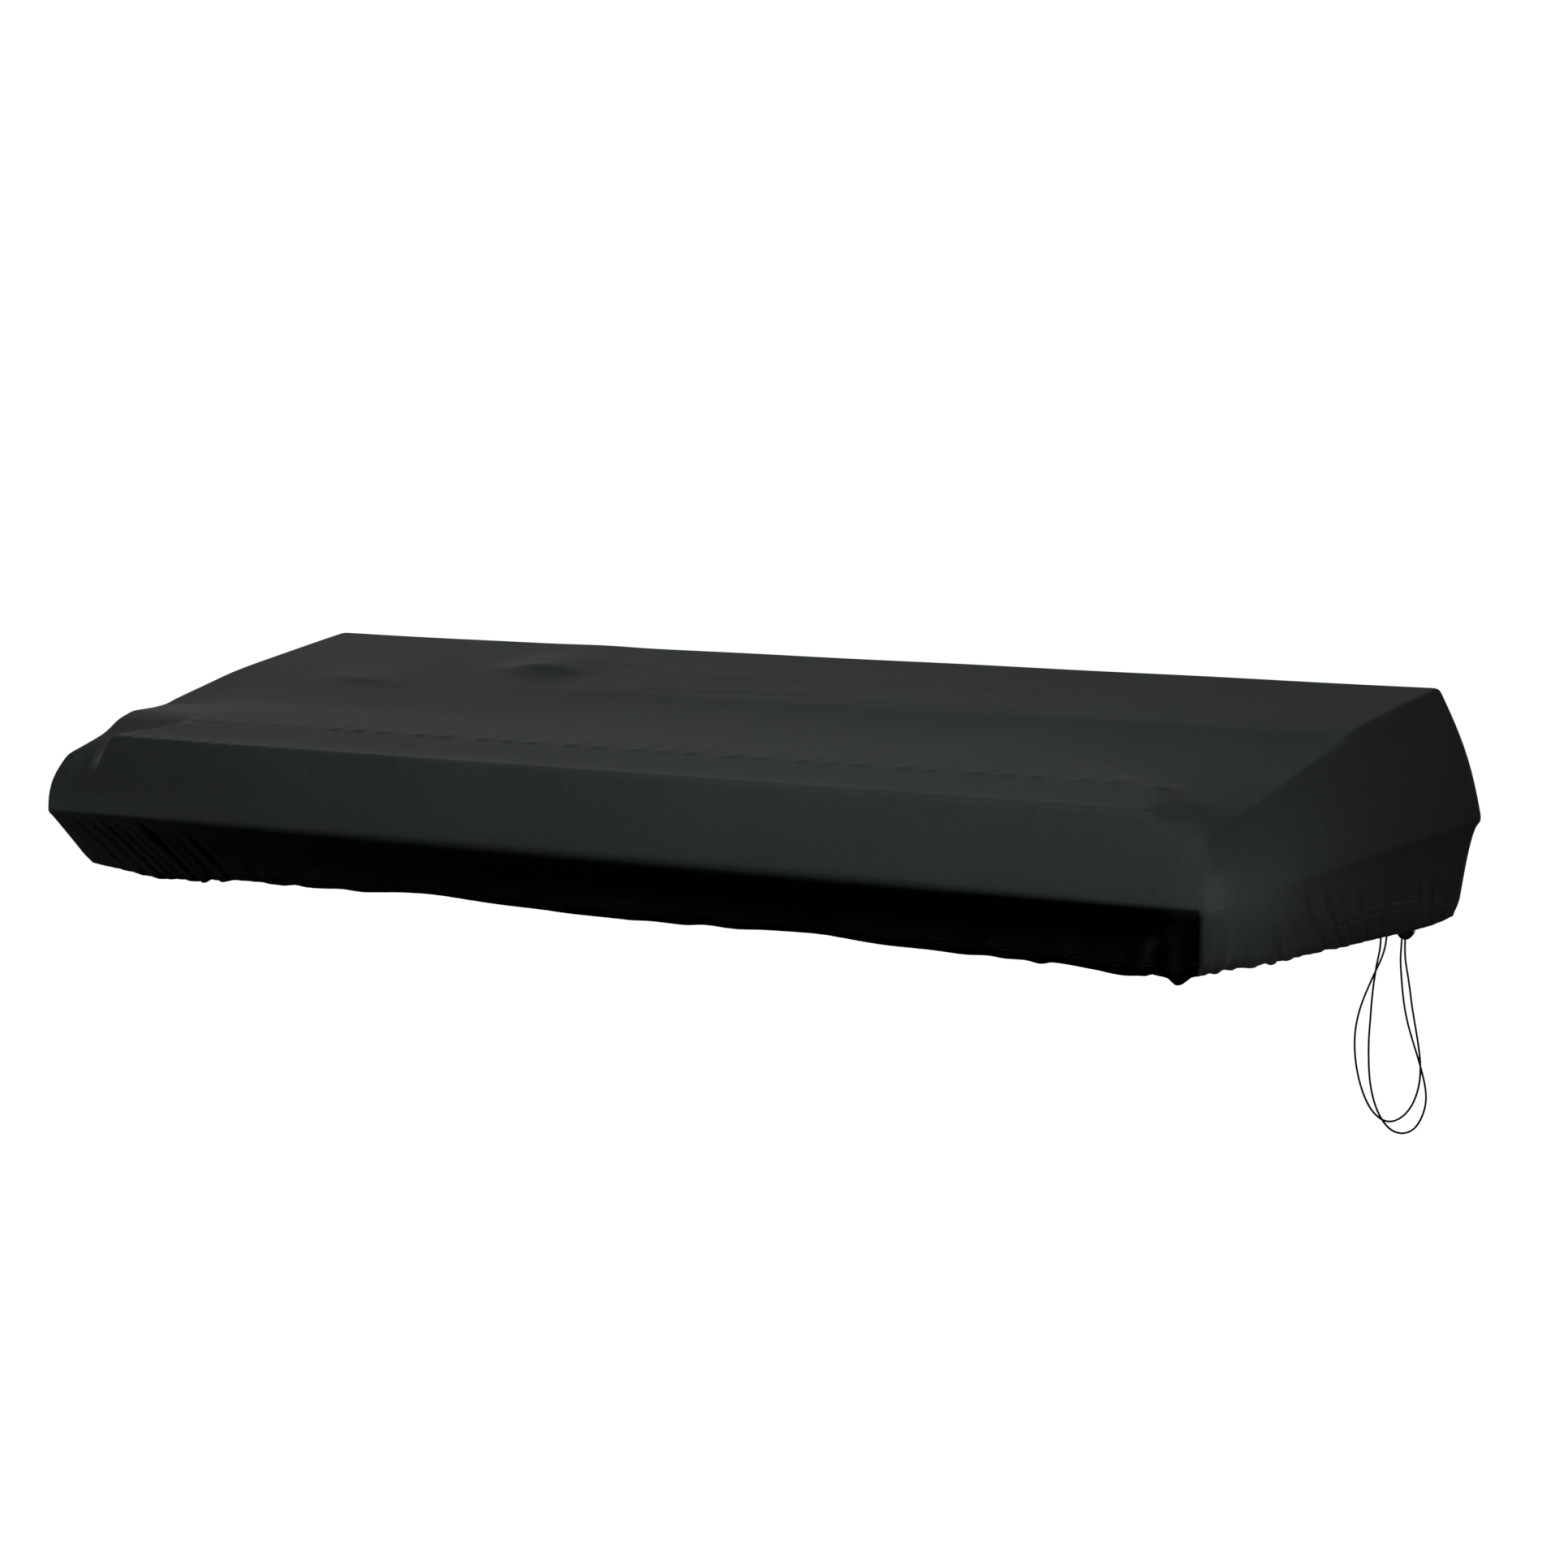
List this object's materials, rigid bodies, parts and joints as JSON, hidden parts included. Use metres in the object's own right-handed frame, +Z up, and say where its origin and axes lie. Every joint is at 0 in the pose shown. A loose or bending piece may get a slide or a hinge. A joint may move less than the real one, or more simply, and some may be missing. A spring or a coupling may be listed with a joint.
{
  "type": "keyboard dust cover",
  "caption": "Fitted stretch-knit dust cover for a keyboard instrument, gathered underneath by an elastic hem, with a hanging drawcord and a spring cord lock.",
  "frame": {"origin": "under the rear panel of the top, at mid-length and about the middle of its depth, where the covered instrument holds the cloth up", "axes": "+X along the length towards the end with the drawcord, +Y from the front (key side) to the back, +Z up"},
  "size_m": [1.1928, 0.3513, 0.3252],
  "materials": {
    "cover_knit": "matte fine stretch knit, charcoal",
    "cord_braid": "round elastic braid, black",
    "lock_plastic": "moulded, fine matte, black"
  },
  "bodies": {
    "cover": {"cover": "cover_knit", "drawcord_strand_1": "cord_braid", "drawcord_strand_2": "cord_braid", "cord_lock_barrel": "lock_plastic"},
    "plunger": {"cord_lock_plunger": "lock_plastic"}
  },
  "joints": [
    {"name": "plunger_press", "type": "slide", "parent": "cover", "child": "plunger", "axis": [-0.4274, 0.9041, 0], "range_m": [0, 0.003], "stiffness_N_per_m": 300}
  ]
}
